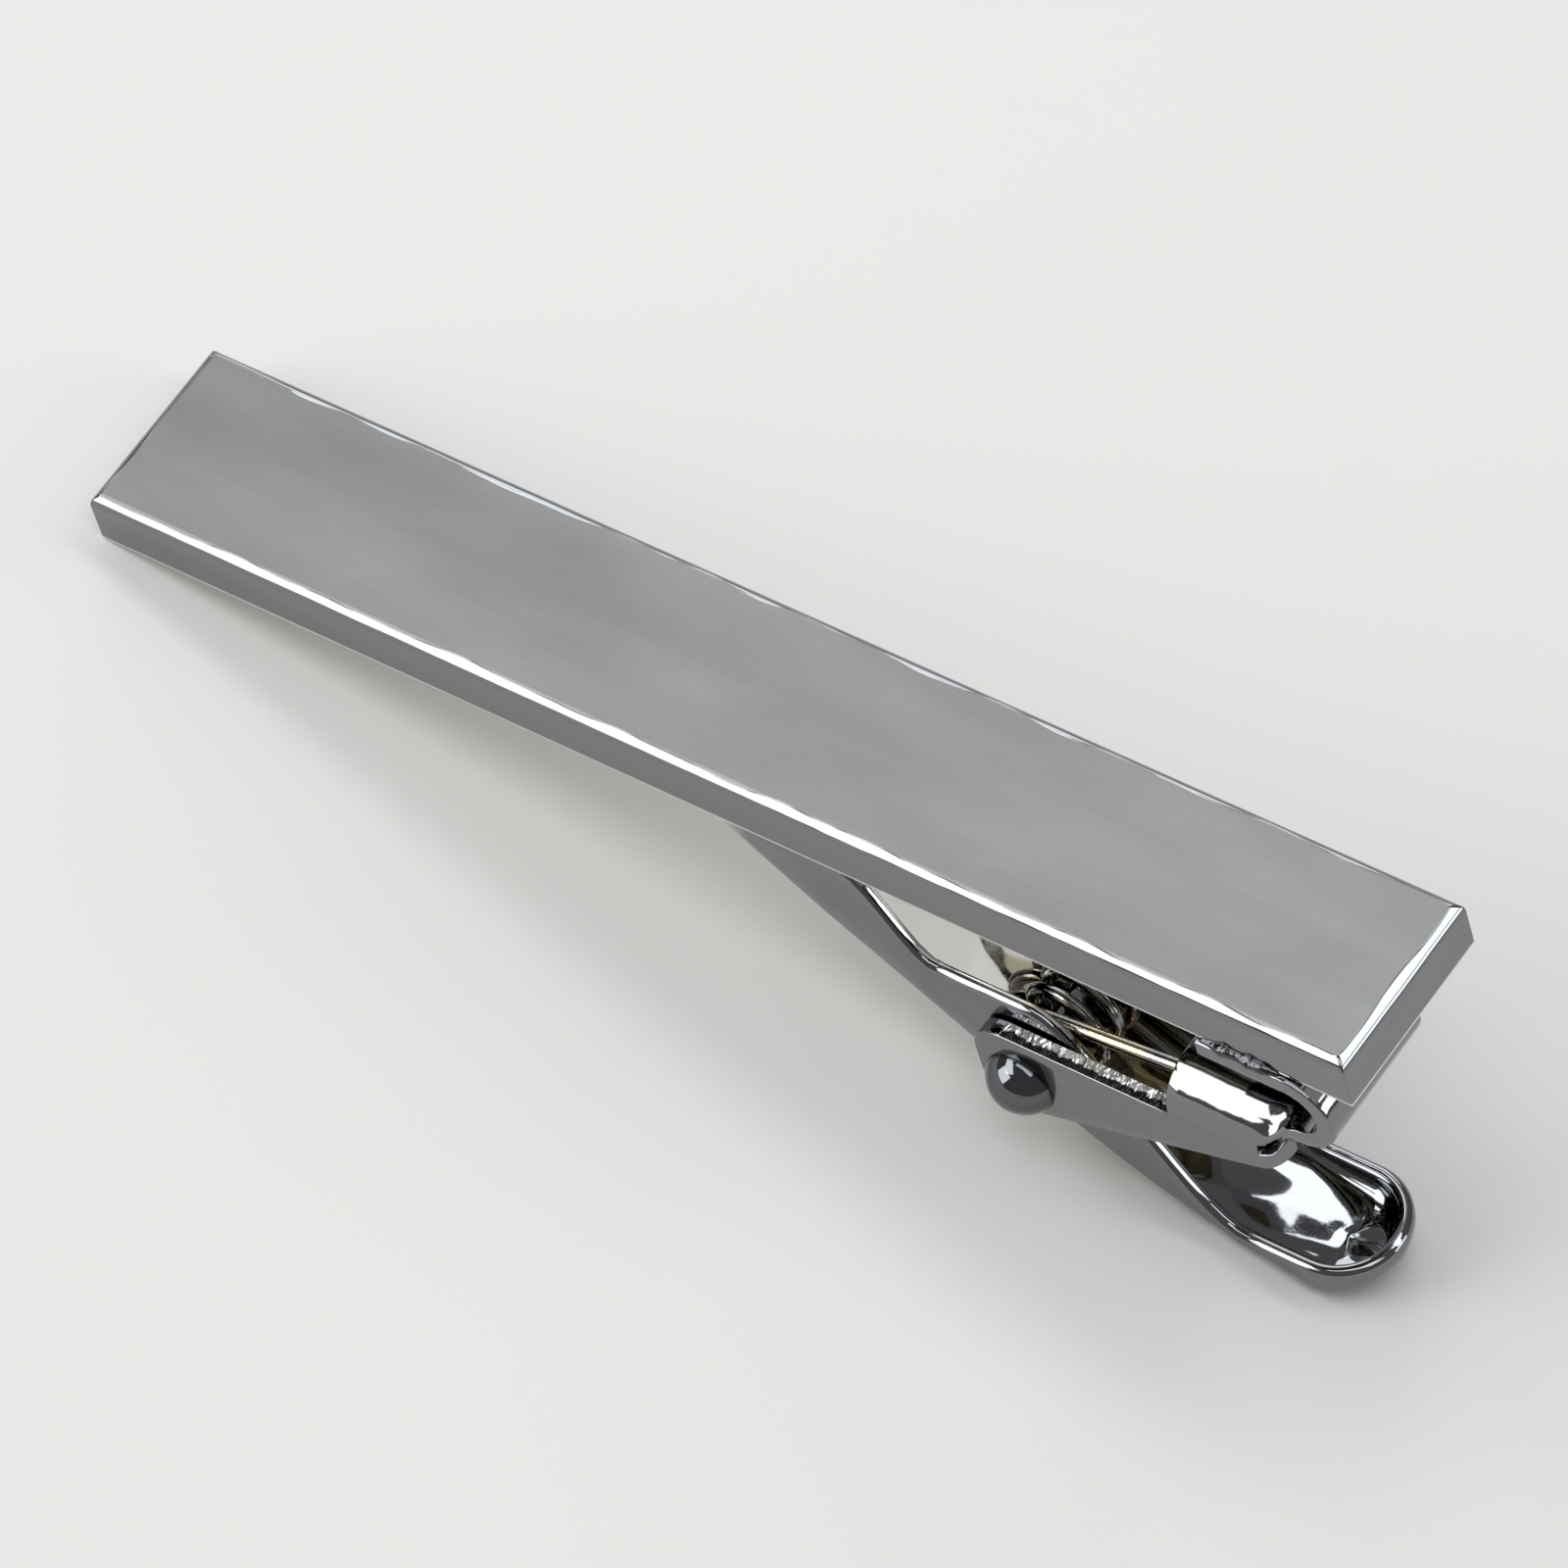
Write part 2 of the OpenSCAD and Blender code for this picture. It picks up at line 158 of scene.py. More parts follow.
# How far a point lies inside the face's outline, with the hand-held wheel's wobble of 0.1 mm.
wobble = add(
    chrome_bar,
    "ShaderNodeTexNoise",
    {"Scale": 0.3, "Detail": 0.5, "Roughness": 0.5},
    {"Vector": place},
)
from_side = add(chrome_bar, "ShaderNodeMath", {"operation": "ABSOLUTE"}, {0: xyz.outputs["Y"]})
from_side = add(
    chrome_bar,
    "ShaderNodeMath",
    {"operation": "SUBTRACT", 0: bar_width / 2},
    {1: from_side.outputs[0]},
)
from_end = add(
    chrome_bar,
    "ShaderNodeMath",
    {"operation": "SUBTRACT", 1: bar_length / 2},
    {0: xyz.outputs["X"]},
)
from_end = add(chrome_bar, "ShaderNodeMath", {"operation": "ABSOLUTE"}, {0: from_end.outputs[0]})
from_end = add(
    chrome_bar,
    "ShaderNodeMath",
    {"operation": "SUBTRACT", 0: bar_length / 2},
    {1: from_end.outputs[0]},
)
inset = add(
    chrome_bar,
    "ShaderNodeMath",
    {"operation": "SMOOTH_MIN", 2: 0.5},
    {0: from_side.outputs[0], 1: from_end.outputs[0]},
)
inset = add(
    chrome_bar,
    "ShaderNodeMath",
    {"operation": "MULTIPLY_ADD", 1: 0.5},
    {0: wobble.outputs["Fac"], 2: inset.outputs[0]},
)
face = add(
    chrome_bar,
    "ShaderNodeMapRange",
    {"interpolation_type": "SMOOTHSTEP", "From Min": satin_from, "From Max": satin_to},
    {"Value": inset.outputs[0]},
)
on_top = add(
    chrome_bar,
    "ShaderNodeMapRange",
    {"From Min": bar_thick - 0.12, "From Max": bar_thick - 0.06},
    {"Value": xyz.outputs["Z"]},
)
face = add(
    chrome_bar,
    "ShaderNodeMath",
    {"operation": "MULTIPLY"},
    {0: face.outputs["Result"], 1: on_top.outputs["Result"]},
).outputs[0]
# Brush lines drawn 0.11 mm wide and 12.5 mm long; a real one is half as wide.
line_long, line_wide = 12.5, 1 / 9
stretch = add(
    chrome_bar,
    "ShaderNodeMapping",
    {"Scale": (1 / line_long, 1 / line_wide, 1.0)},
    {"Vector": place},
)
lines = add(
    chrome_bar,
    "ShaderNodeTexNoise",
    {"Detail": 4.0, "Roughness": 0.6, "Scale": 1.0},
    {"Vector": stretch.outputs["Vector"]},
)
# Faint clouds, slantwise to the brushing, where the wheel bore harder.
slant = add(
    chrome_bar,
    "ShaderNodeMapping",
    {"Scale": (0.09, 0.3, 1.0), "Rotation": (0, 0, 0.6)},
    {"Vector": place},
)
cloud = add(
    chrome_bar,
    "ShaderNodeTexNoise",
    {"Detail": 3.0, "Roughness": 0.5, "Scale": 1.0},
    {"Vector": slant.outputs["Vector"]},
)
satin = add(
    chrome_bar,
    "ShaderNodeMix",
    {"data_type": "RGBA", 6: colour(satin_dark), 7: colour(satin_light)},
    {0: lines.outputs["Fac"]},
)
veil = add(
    chrome_bar,
    "ShaderNodeMapRange",
    {"From Min": 0.3, "From Max": 0.7, "To Min": 0.74, "To Max": 0.94},
    {"Value": cloud.outputs["Fac"]},
)
# The satin's multiplier also rises by 0.3 along the bar, so it grows lighter towards the right end.
veil = add(
    chrome_bar,
    "ShaderNodeMath",
    {"operation": "MULTIPLY_ADD", 1: 0.3 / bar_length},
    {0: xyz.outputs["X"], 2: veil.outputs["Result"]},
)
satin = add(
    chrome_bar,
    "ShaderNodeMix",
    {"data_type": "RGBA", "blend_type": "MULTIPLY", 0: 1.0},
    {6: satin.outputs[2], 7: veil.outputs[0]},
)
# Plating pips, each about a tenth of a millimetre across.
pips = add(chrome_bar, "ShaderNodeTexVoronoi", {"Scale": 0.32, "Randomness": 1.0}, {"Vector": place})
pips = add(
    chrome_bar,
    "ShaderNodeMapRange",
    {"From Min": 0.012, "From Max": 0.024, "To Min": 1.0, "To Max": 0.0},
    {"Value": pips.outputs["Distance"]},
)
skin = add(
    chrome_bar,
    "ShaderNodeMix",
    {"data_type": "RGBA", 6: colour(plate_grey)},
    {0: face, 7: satin.outputs[2]},
)
# The back is painted near white as a painted reflection: it brightens what the lever's channel
# mirrors into the throat.
painted_reflection_back = add(
    chrome_bar,
    "ShaderNodeMapRange",
    {"From Min": 0.2, "From Max": 0.1},
    {"Value": xyz.outputs["Z"]},
)
skin = add(
    chrome_bar,
    "ShaderNodeMix",
    {"data_type": "RGBA", 7: colour(painted_reflection_grey)},
    {0: painted_reflection_back.outputs["Result"], 6: skin.outputs[2]},
)
chrome_bar.node_tree.links.new(skin.outputs[2], shader.inputs["Base Color"])
rough = add(
    chrome_bar,
    "ShaderNodeMath",
    {"operation": "MULTIPLY_ADD", 1: 0.06, 2: satin_rough},
    {0: lines.outputs["Fac"]},
)
rough = add(
    chrome_bar,
    "ShaderNodeMix",
    {"data_type": "FLOAT", 2: polished_rough},
    {0: face, 3: rough.outputs[0]},
)
chrome_bar.node_tree.links.new(rough.outputs[0], shader.inputs["Roughness"])
# Polished plate is never quite flat: it waves by a few hundredths of a millimetre.
swell = add(
    chrome_bar,
    "ShaderNodeTexNoise",
    {"Scale": 0.4, "Detail": 0.5, "Roughness": 0.5},
    {"Vector": place},
)
rise = add(
    chrome_bar,
    "ShaderNodeMath",
    {"operation": "MULTIPLY_ADD", 1: 0.12},
    {0: lines.outputs["Fac"], 2: pips.outputs["Result"]},
)
relief = add(
    chrome_bar,
    "ShaderNodeMix",
    {"data_type": "FLOAT"},
    {0: face, 2: swell.outputs["Fac"], 3: rise.outputs[0]},
)
swell_depth, line_depth = 0.14 * MM, 0.03 * MM
depth = add(
    chrome_bar,
    "ShaderNodeMix",
    {"data_type": "FLOAT", 2: swell_depth, 3: line_depth},
    {0: face},
)
bump = add(
    chrome_bar,
    "ShaderNodeBump",
    {"Strength": 0.5},
    {"Height": relief.outputs[0], "Distance": depth.outputs[0]},
)
chrome_bar.node_tree.links.new(bump.outputs["Normal"], shader.inputs["Normal"])


def piece(name, bm, place, materials, smooth=True):
    """Makes a finished object at the origin from a mesh in millimetres, closed ones turned outwards."""
    bmesh.ops.transform(bm, matrix=place, verts=bm.verts)
    if not any(e.is_boundary for e in bm.edges):
        bmesh.ops.recalc_face_normals(bm, faces=bm.faces)
    mesh = bpy.data.meshes.new(name)
    bm.to_mesh(mesh)
    bm.free()
    for m in materials:
        mesh.materials.append(m)
    mesh.polygons.foreach_set("use_smooth", [smooth] * len(mesh.polygons))
    obj = bpy.data.objects.new(name, mesh)
    scene.collection.objects.link(obj)
    return obj


def modifier(obj, kind, **settings):
    """Adds a modifier with its settings."""
    m = obj.modifiers.new(kind.title().replace("_", ""), kind)
    for key, value in settings.items():
        setattr(m, key, value)
    return m


bar = piece("front_bar_plated", bm, lay, [chrome_bar])
modifier(bar, "WEIGHTED_NORMAL", keep_sharp=False, weight=100)
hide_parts("front_bar")
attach(bar, "bar")

# Hinge bracket.
# One stamping of 0.8 mm brass strip: two cheeks folded down from a web, and a tongue folded back
# over the web in a hairpin and soldered under the bar. Its sheared edges are plated over as cut.
sheet, lever_width, side_gap, film_thick = 0.8, 5.5, 0.12, 0.1

# From here on, shapes are drawn from the pin: x along the bar, y across, z up to the bar.
cheek_out = lever_width / 2 + side_gap + sheet
cheek_round, cheek_rise, cheek_corner = 1.9, 2.8, 1.5
slope = math.radians(18.5)
web_top, web_bend = 4.8, 1.8
box_front, box_rear = 7.5, 11.7
curl, curl_lift, curl_rise, slit = 1.1, 0.25, 0.7, 0.1
flap_half, flap_front, fold_rear = cheek_out - 0.3, 9.4, 15.4
fold_in = (pin_below - film_thick - web_top - sheet) / 2
fold_x = fold_rear - fold_in - sheet
front_columns, box_columns, rear_columns = 16, 8, 22
curl_columns, taper_columns, hairpin_columns = 8, 5, 12
columns = front_columns + box_columns + rear_columns
crowding, edge_round = 0.85, 0.08
cheek_rows, bend_rows, web_rows = 6, 8, 6
rows = 2 * (cheek_rows + 1 + bend_rows) + web_rows


def ease(x, a, b):
    """Rises softly from 0 at a to 1 at b."""
    s = min(max((x - a) / (b - a), 0), 1)
    return s * s * (3 - 2 * s)


def cheek_low(x):
    """The cheek's lower edge: round below the pin, then sloping straight up towards the bar."""
    if x < cheek_round * math.sin(slope):
        return -math.sqrt(max(cheek_round**2 - x * x, 0))
    return x * math.tan(slope) - cheek_round / math.cos(slope)


def cheek_high(x):
    """The cheek's upper edge, with a round corner in front."""
    before = x - cheek_corner + cheek_round
    if before < 0:
        return cheek_rise - cheek_corner + math.sqrt(max(cheek_corner**2 - before**2, 0))
    return cheek_rise


def pressed(i, j):
    """Where the blank's grid point i along, j across, lies once the bracket is folded."""
    side = -1 if j <= rows / 2 else 1
    j = min(j, rows - j)
    if i <= front_columns:
        a = i / front_columns
        x = -cheek_round + (box_front + cheek_round) * (1 - math.cos(a * math.pi / 2)) ** crowding
    elif i <= front_columns + box_columns:
        x = box_front + (box_rear - box_front) * (i - front_columns) / box_columns
    else:
        x = box_rear
    beyond = max(i - front_columns - box_columns, 0)
    if j <= cheek_rows:
        z = cheek_low(x) + (cheek_high(x) - cheek_low(x)) * j / cheek_rows
        y = cheek_out
        if beyond:
            a = math.radians(90) * min(beyond / curl_columns, 1)
            x = box_rear + curl * math.sin(a)
            y = cheek_out - curl + curl * math.cos(a)
            low = cheek_low(x) + curl_lift * (1 - math.cos(a))
            high = web_top - web_bend - slit + curl_rise * ease(beyond, 2, 7)
            z = low + (high - low) * j / cheek_rows
        return Vector((x, side * y, z))
    if j <= cheek_rows + 1:
        y, z = cheek_out, web_top - web_bend
    elif j <= cheek_rows + 1 + bend_rows:
        a = math.radians(90) * (j - cheek_rows - 1) / bend_rows
        y = cheek_out - web_bend + web_bend * math.cos(a)
        z = web_top - web_bend + web_bend * math.sin(a)
    else:
        y = (cheek_out - web_bend) * (rows / 2 - j) / (rows / 2 - cheek_rows - 1 - bend_rows)
        z = web_top
    if beyond:
        flat = flap_half * (rows / 2 - j) / (rows / 2 - cheek_rows - 1)
        run = fold_x - box_rear
        if beyond <= taper_columns:
            x = box_rear + run * beyond / taper_columns
            s = ease(beyond, 0, taper_columns)
            y, z = y + (flat - y) * s, z + (web_top - z) * s
        elif beyond <= taper_columns + hairpin_columns:
            a = math.radians(180) * (beyond - taper_columns) / hairpin_columns
            x = fold_x + fold_in * math.sin(a)
            y, z = flat, web_top + fold_in - fold_in * math.cos(a)
        else:
            folded = taper_columns + hairpin_columns
            s = (beyond - folded) / (rear_columns - folded)
            x = fold_x + (flap_front - fold_x) * s
            y, z = flat, web_top + 2 * fold_in
    return Vector((x, side * y, z))


# The blank is a flat grid. Ahead of the box only the cheeks are left; behind it, a slit on each side
# frees the cheek's curled end from the tongue.
bm = bmesh.new()
bmesh.ops.create_grid(bm, x_segments=columns, y_segments=rows, size=0.5)
cut = []
for f in bm.faces:
    c = f.calc_center_median()
    i, j = (c.x + 0.5) * columns, (c.y + 0.5) * rows
    j = min(j, rows - j)
    beyond = i - front_columns - box_columns
    if i < front_columns and j > cheek_rows:
        cut.append(f)
    if beyond > 0 and (cheek_rows < j < cheek_rows + 2 or (j < cheek_rows and beyond > curl_columns)):
        cut.append(f)
bmesh.ops.delete(bm, geom=cut, context="FACES")
for v in bm.verts:
    v.co = pressed(round((v.co.x + 0.5) * columns), round((v.co.y + 0.5) * rows))
bmesh.ops.remove_doubles(bm, verts=bm.verts, dist=1e-4)
# The web's face looks up, so the sheet's thickness goes down and inwards from it.
bm.normal_update()
web_middle = Vector(((box_front + box_rear) / 2, 0, web_top))
web_face = min(bm.faces, key=lambda f: (f.calc_center_median() - web_middle).length)
if web_face.normal.z < 0:
    bmesh.ops.reverse_faces(bm, faces=bm.faces)


def from_middle(material, xyz):
    """How far a point lies from the bracket's middle plane, to either side."""
    off = add(material, "ShaderNodeMath", {"operation": "ADD", 1: off_centre}, {0: xyz.outputs["Y"]})
    return add(material, "ShaderNodeMath", {"operation": "ABSOLUTE"}, {0: off.outputs[0]}).outputs[0]


# Barrel-polished plate: mirror bright, with soft swells and the barrel's fine dimples, so that what
# it mirrors bends and blurs a little.
stamping, shader = metal("barrel_polished_chrome_on_stamped_brass", plate_grey, 0.06)
place = bar_place(stamping)
swell = add(stamping, "ShaderNodeTexNoise", {"Scale": 0.5, "Detail": 2.0}, {"Vector": place})
fine = add(stamping, "ShaderNodeTexNoise", {"Scale": 14.0, "Detail": 3.0}, {"Vector": place})
height = add(
    stamping,
    "ShaderNodeMath",
    {"operation": "MULTIPLY_ADD", 1: 0.006},
    {0: fine.outputs["Fac"], 2: swell.outputs["Fac"]},
)
bump = add(
    stamping,
    "ShaderNodeBump",
    {"Strength": 0.5, "Distance": 0.06 * MM},
    {"Height": height.outputs[0]},
)
stamping.node_tree.links.new(bump.outputs["Normal"], shader.inputs["Normal"])
dull = add(
    stamping,
    "ShaderNodeMapRange",
    {"From Min": 0.35, "From Max": 0.7, "To Min": 0.04, "To Max": 0.11},
    {"Value": fine.outputs["Fac"]},
)
stamping.node_tree.links.new(dull.outputs["Result"], shader.inputs["Roughness"])
# Plating throws thinly into the closed box of the bracket, so the brass shows pale through it there.
thin_brass = "#97907f"
web_under = web_top - pin_below
box_end = pin_along + box_rear
xyz = add(stamping, "ShaderNodeSeparateXYZ", None, {"Vector": place})
off_side = from_middle(stamping, xyz)
thin = add(
    stamping,
    "ShaderNodeMapRange",
    {
        "interpolation_type": "SMOOTHSTEP",
        "From Min": cheek_out - 0.35,
        "From Max": cheek_out - sheet + 0.05,
    },
    {"Value": off_side},
)
below = add(
    stamping,
    "ShaderNodeMapRange",
    {"From Min": web_under - 0.5, "From Max": web_under - 0.2, "To Min": 1.0, "To Max": 0.0},
    {"Value": xyz.outputs["Z"]},
)
brassy = add(
    stamping,
    "ShaderNodeMath",
    {"operation": "MULTIPLY"},
    {0: thin.outputs["Result"], 1: below.outputs["Result"]},
)
ahead = add(
    stamping,
    "ShaderNodeMapRange",
    {"From Min": box_end - 0.1, "From Max": box_end - 0.4},
    {"Value": xyz.outputs["X"]},
)
brassy = add(
    stamping,
    "ShaderNodeMath",
    {"operation": "MULTIPLY"},
    {0: brassy.outputs[0], 1: ahead.outputs["Result"]},
)
tint = add(
    stamping,
    "ShaderNodeMix",
    {"data_type": "RGBA", 6: colour(plate_grey), 7: colour(thin_brass)},
    {0: brassy.outputs[0]},
)
stamping.node_tree.links.new(tint.outputs[2], shader.inputs["Base Color"])

# The cheeks' top edges were left as the shear tore them; their glitter is painted, as a near-white
# painted highlight and near-black painted shade. Other edges are polished.
cut_painted_shade, torn_painted_glint = "#323334", "#f6f6f4"
sheared, shader = metal("sheared_edge_plated_over", plate_grey, 0.1)
place = bar_place(sheared)
xyz = add(sheared, "ShaderNodeSeparateXYZ", None, {"Vector": place})
edge_at = cheek_rise - pin_below
# Only the flat of the edge is torn, not the small rounds beside it.
torn = add(
    sheared,
    "ShaderNodeMapRange",
    {"From Min": edge_at - 0.016, "From Max": edge_at - 0.006},
    {"Value": xyz.outputs["Z"]},
)
cheek_part = add(
    sheared,
    "ShaderNodeMapRange",
    {"From Min": pin_along + box_front, "From Max": pin_along + box_front - 0.1},
    {"Value": xyz.outputs["X"]},
)
torn = add(
    sheared,
    "ShaderNodeMath",
    {"operation": "MULTIPLY"},
    {0: torn.outputs["Result"], 1: cheek_part.outputs["Result"]},
).outputs[0]
# The tears lie aslant, about 0.3 mm apart along the edge.
tear = add(
    sheared,
    "ShaderNodeMapping",
    {"Scale": (3.0, 1.0, 1.6), "Rotation": (0, 0, 0.35)},
    {"Vector": place},
)
grit = add(
    sheared,
    "ShaderNodeTexNoise",
    {"Scale": 1.0, "Detail": 2.0, "Roughness": 0.6},
    {"Vector": tear.outputs["Vector"]},
)
# The shear tears only the half of the thickness that breaks last; the other half is cut smooth.
# The torn half is painted near white as a painted highlight, the cut half near black as painted shade.
off_side = from_middle(sheared, xyz)
off_side = add(
    sheared,
    "ShaderNodeMath",
    {"operation": "MULTIPLY_ADD", 1: 0.5},
    {0: grit.outputs["Fac"], 2: off_side},
).outputs[0]
painted_glint_half = add(
    sheared,
    "ShaderNodeMapRange",
    {"From Min": cheek_out - 0.08, "From Max": cheek_out - 0.14},
    {"Value": off_side},
)
bump = add(
    sheared,
    "ShaderNodeBump",
    {"Distance": 0.8 * MM},
    {"Height": grit.outputs["Fac"], "Strength": torn},
)
sheared.node_tree.links.new(bump.outputs["Normal"], shader.inputs["Normal"])
# Painted light: a near-white painted highlight on the torn half, near-black painted shade on the cut
# half.
painted_edge_light = add(
    sheared,
    "ShaderNodeMix",
    {"data_type": "RGBA", 6: colour(cut_painted_shade), 7: colour(torn_painted_glint)},
    {0: painted_glint_half.outputs["Result"]},
)
pale = add(
    sheared,
    "ShaderNodeMix",
    {"data_type": "RGBA", 6: colour(plate_grey)},
    {0: torn, 7: painted_edge_light.outputs[2]},
)
sheared.node_tree.links.new(pale.outputs[2], shader.inputs["Base Color"])
rough = add(sheared, "ShaderNodeMath", {"operation": "MULTIPLY_ADD", 1: 0.24, 2: 0.06}, {0: torn})
sheared.node_tree.links.new(rough.outputs[0], shader.inputs["Roughness"])

bracket = piece("hinge_bracket_stamped", bm, on_pin, [stamping, sheared])
modifier(
    bracket,
    "SOLIDIFY",
    thickness=sheet * MM,
    offset=-1,
    use_even_offset=True,
    use_quality_normals=True,
    material_offset_rim=1,
)
modifier(
    bracket,
    "BEVEL",
    width=edge_round * MM,
    segments=3,
    limit_method="ANGLE",
    angle_limit=math.radians(50),
    use_clamp_overlap=False,
)
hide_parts("hinge_bracket")
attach(bracket, "bar")

# Solder joint.
# A film of soft solder between flap and bar, squeezed out as a lumpy bead along the ledge beside
# the bar. It was plated over with the rest, so it shines but stays uneven.
bead_from, bead_to, bead_round = flap_front + 0.1, fold_x - 0.1, 0.3
bead_sides, bead_cuts = 16, 24
bar_side = off_centre - bar_width / 2
bm = bmesh.new()
bmesh.ops.create_cone(
    bm,
    cap_ends=True,
    segments=bead_sides,
    radius1=bead_round,
    radius2=bead_round,
    depth=bead_to - bead_from,
)
bmesh.ops.rotate(bm, matrix=Matrix.Rotation(math.radians(90), 3, "Y"), verts=bm.verts)
long_edges = [e for e in bm.edges if abs(e.verts[0].co.x - e.verts[1].co.x) > 0.5]
bmesh.ops.subdivide_edges(bm, edges=long_edges, cuts=bead_cuts, use_grid_fill=True)
half_long = (bead_to - bead_from) / 2
# The bead swells in lumps and tapers to its ends.
for v in bm.verts:
    end = max(1 - (v.co.x / half_long) ** 4, 0.02) ** 0.5
    lump = 0.78 + 0.35 * noise.noise(Vector((v.co.x * 1.9, 3.1, 0.4)))
    v.co.y *= end * lump
    v.co.z *= end * lump
bmesh.ops.translate(
    bm,
    vec=((bead_from + bead_to) / 2, bar_side, pin_below - film_thick),
    verts=bm.verts,
)
film = bmesh.ops.create_cube(bm, size=1)["verts"]
film_side = flap_half - 0.25
film_middle = ((fold_x + flap_front) / 2, (film_side + bar_side) / 2, pin_below - film_thick / 2)
bmesh.ops.scale(bm, vec=(bead_to - bead_from, film_side - bar_side, film_thick), verts=film)
bmesh.ops.translate(bm, vec=film_middle, verts=film)

# Solder set in lumps and plated over. Its plate is painted dark, as painted shade in the joint
# under the bar's edge, and it shows small glints.
solder_painted_shade_grey = "#4e4f51"
solder, shader = metal("soft_solder_plated_over", solder_painted_shade_grey, 0.1)
place = bar_place(solder)
lumps = add(
    solder,
    "ShaderNodeTexNoise",
    {"Scale": 1.3, "Detail": 2.0, "Roughness": 0.5},
    {"Vector": place},
)
bump = add(
    solder,
    "ShaderNodeBump",
    {"Strength": 1.0, "Distance": 0.2 * MM},
    {"Height": lumps.outputs["Fac"]},
)
solder.node_tree.links.new(bump.outputs["Normal"], shader.inputs["Normal"])

joint = piece("solder_joint_bead", bm, on_pin, [solder])
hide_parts("solder_joint")
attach(joint, "bar")

# Hinge pin.
# A brass rivet through both cheeks and the lever, each head struck into a dome and then plated.
# The struck heads are not quite round, which breaks up what they mirror.
head_radius, head_height, shank, shank_round = 1.55, 1.2, 0.8, 0.05
dome = (head_radius**2 + head_height**2) / (2 * head_height)
dome_steps, spin_steps = 12, 48
bm = bmesh.new()
for side in (-1, 1):
    outline = [bm.verts.new((0, side * (cheek_out + head_height), 0))]
    for k in range(1, dome_steps + 1):
        a = math.asin(head_radius / dome) * k / dome_steps
        high = cheek_out + head_height - dome + dome * math.cos(a)
        outline.append(bm.verts.new((dome * math.sin(a), side * high, 0)))
    outline.append(bm.verts.new((shank, side * cheek_out, 0)))
    outline.append(bm.verts.new((shank, 0, 0)))
    profile = [bm.edges.new(pair) for pair in zip(outline, outline[1:])]
    bmesh.ops.spin(
        bm,
        geom=outline + profile,
        cent=(0, 0, 0),
        axis=(0, 1, 0),
        angle=math.tau,
        steps=spin_steps,
        use_merge=True,
    )
bmesh.ops.remove_doubles(bm, verts=bm.verts, dist=1e-4)

# Plate over a struck dome, painted darker than the rest of the plate as a painted dark reflection;
# its small white highlights are bent by shallow dents.
rivet_painted_dark_grey = "#636568"
rivet, shader = metal("struck_rivet_head_chromed", rivet_painted_dark_grey, 0.05)
place = bar_place(rivet)
dents = add(
    rivet,
    "ShaderNodeTexNoise",
    {"Scale": 0.9, "Detail": 1.0, "Roughness": 0.5},
    {"Vector": place},
)
bump = add(
    rivet,
    "ShaderNodeBump",
    {"Strength": 0.6, "Distance": 0.12 * MM},
    {"Height": dents.outputs["Fac"]},
)
rivet.node_tree.links.new(bump.outputs["Normal"], shader.inputs["Normal"])

pin = piece("hinge_pin_riveted", bm, on_pin, [rivet])
modifier(
    pin,
    "BEVEL",
    width=shank_round * MM,
    segments=2,
    limit_method="ANGLE",
    angle_limit=math.radians(35),
)
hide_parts("hinge_pin")
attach(pin, "bar")

# Jaw lever.
# One stamping of 0.6 mm brass, deep drawn to a channel that runs from the flat jaw under the bar,
# past the rivet it swings on, down to a spoon-shaped thumb pad; then polished and plated.
lever_sheet, lever_half, lever_bend = 0.6, lever_width / 2, 1.0
jaw_reach, jaw_half, jaw_flat, jaw_taper = 18.8, 2.0, 2.5, 8.5
jaw_slope = math.radians(19)
# Pieces that touch are drawn this far apart.
seat = 0.05
jaw_back = pin_below - seat
pad_flat, pad_depth, pad_lip = 2.6, 2.1, 0.9
ear_rise, neck_start, neck_end, heel_start, heel_end = 3.8, -7.5, -4.0, 0.5, 8.7
pad_low = pin_below - pad_below
pad_rim = pad_low + pad_depth
floor_start = Vector((jaw_flat - jaw_reach, jaw_back - lever_sheet))
floor_end = Vector((pad_reach - pad_flat, pad_low + pad_flat * math.tan(pitch)))
# The floor's underside is one smooth curve between the jaw's flat and the pad's.
fullness = 0.377
handle = fullness * (floor_end.x - floor_start.x)
floor_points = [
    floor_start,
    floor_start + handle * Vector((1, -math.tan(jaw_slope))),
    floor_end - handle * Vector((1, -math.tan(pitch))),
    floor_end,
]


def floor_at(s):
    """Place and slope of the floor's underside, 0 at the jaw's flat and 1 at the pad's."""
    p = floor_points
    q = 1 - s
    at = q**3 * p[0] + 3 * q * q * s * p[1] + 3 * q * s * s * p[2] + s**3 * p[3]
    d = q * q * (p[1] - p[0]) + 2 * q * s * (p[2] - p[1]) + s * s * (p[3] - p[2])
    return at, d.y / d.x


def wall_top(x):
    """The walls fall from the jaw to the ears round the pin, and again from there to the pad."""
    to_ear = (jaw_back - ear_rise) * ease(x, neck_start, neck_end)
    to_pad = (ear_rise - pad_rim) * ease(x, heel_start, heel_end)
    return jaw_back - to_ear - to_pad


def half_width(x):
    """The lever's half width: a round nose, then widening to the ears."""
    nose = max(1 - max(-jaw_reach + jaw_half - x, 0) ** 2 / jaw_half**2, 0) ** 0.5
    widening = ease(x, -jaw_reach, jaw_flat + jaw_taper - jaw_reach)
    return nose * (jaw_half + (lever_half - jaw_half) * widening)


nose_steps, floor_steps, flat_steps, round_steps = 8, 44, 5, 14
side_steps = nose_steps + floor_steps + flat_steps
around = 2 * (side_steps + round_steps)
rim_rows, wall_rows, corner_rows, floor_rows = 5, 4, 7, 6
inwards = rim_rows + wall_rows + corner_rows + floor_rows
soften_from, soften_to, hollow_from = 4, 9, 5


